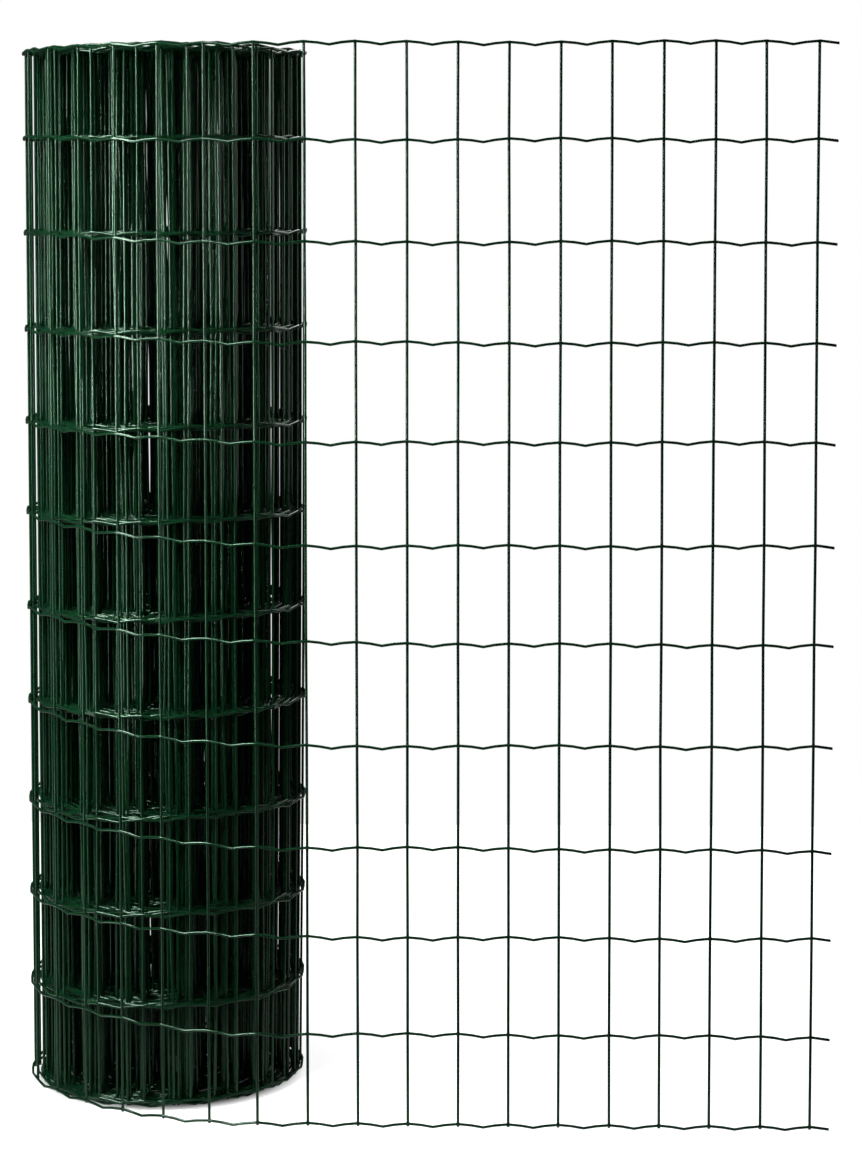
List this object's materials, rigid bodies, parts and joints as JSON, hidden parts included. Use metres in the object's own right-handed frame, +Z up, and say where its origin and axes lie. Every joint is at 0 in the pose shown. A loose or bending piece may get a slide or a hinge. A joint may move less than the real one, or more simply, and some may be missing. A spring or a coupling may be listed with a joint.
{
  "type": "roll of wire fencing",
  "caption": "Roll of green plastic-coated welded wire fencing, standing on its end around an open bore, with a free length of crimped mesh led off to one side.",
  "frame": {"origin": "on the roll's axis at the floor, at the lower end of its bore", "axes": "+Z up along the bore; the free length passes in front of the roll at -Y and runs out along +X"},
  "size_m": [0.8261, 0.3591, 1.0895],
  "materials": {
    "coated_wire": "semi-gloss dark green plastic coating over steel wire"
  },
  "bodies": {
    "root": {"wound_roll": "coated_wire", "free_sheet": "coated_wire"}
  },
  "joints": []
}
